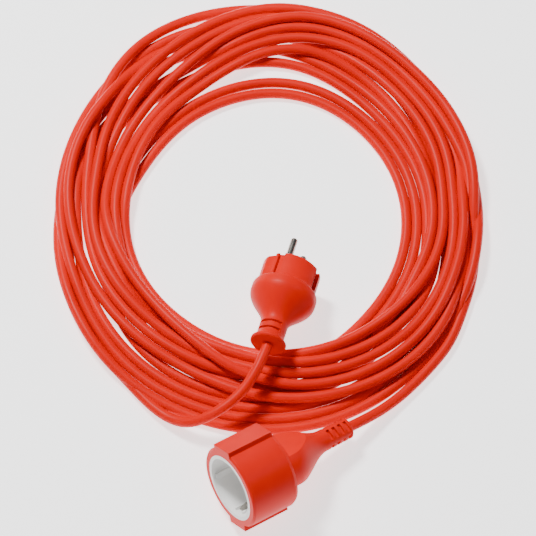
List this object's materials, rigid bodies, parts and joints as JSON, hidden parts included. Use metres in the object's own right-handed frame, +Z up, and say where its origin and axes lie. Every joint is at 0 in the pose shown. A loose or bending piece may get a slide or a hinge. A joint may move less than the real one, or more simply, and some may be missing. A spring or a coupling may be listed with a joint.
{
  "type": "extension cord",
  "caption": "Orange-red earthed extension cord wound into a flat coil, with a moulded two-pin plug inside the coil and a round trailing socket with a white insert beside it.",
  "frame": {"origin": "on the floor, midway under the box round the plug and the coupler", "axes": "+Z up from the floor, +Y from the coupler towards the plug, across the coil's longer way"},
  "size_m": [0.288, 0.3876, 0.0631],
  "materials": {
    "cord_jacket": "satin PVC",
    "orange_moulding": "satin moulded PVC",
    "white_insert": "smooth moulded thermoplastic",
    "orange_shutter": "smooth",
    "dark_carrier": "glass-filled nylon",
    "nickel": "nickel plate, lightly brushed",
    "brass": "stamped",
    "spring_steel": "drawn wire",
    "core_brown": "satin PVC",
    "core_blue": "satin PVC",
    "core_green_yellow": "satin PVC, two colours"
  },
  "bodies": {
    "cord_set": {"cord_coil": "cord_jacket", "plug_lead": "cord_jacket", "coupler_lead": "cord_jacket", "plug_body": "orange_moulding", "plug_carrier": "dark_carrier", "plug_pin_line": "nickel", "plug_pin_neutral": "nickel", "plug_earth_bracket": "nickel", "plug_earth_sleeve": "brass", "plug_crimps": "brass", "plug_jacket_end": "cord_jacket", "plug_core_line": "core_brown", "plug_core_neutral": "core_blue", "plug_core_earth": "core_green_yellow", "coupler_body": "orange_moulding", "coupler_insert": "white_insert", "coupler_contact_cover": "white_insert", "coupler_contact_line": "brass", "coupler_contact_neutral": "brass", "coupler_earth_bracket": "nickel", "shutter_spring": "spring_steel", "coupler_crimps": "brass", "coupler_jacket_end": "cord_jacket", "coupler_core_line": "core_brown", "coupler_core_neutral": "core_blue", "coupler_core_earth": "core_green_yellow"},
    "shutter": {"coupler_shutter": "orange_shutter"}
  },
  "joints": [
    {"name": "shutter_turn", "type": "hinge", "parent": "cord_set", "child": "shutter", "pos_m": [-0.0143, -0.06621, 0.03036], "axis": [-0.8182, -0.5313, 0.2198], "range_deg": [0, 40], "stiffness_Nm_per_rad": 0.001, "springref_deg": -8.59, "deforming": ["shutter_spring"]}
  ]
}
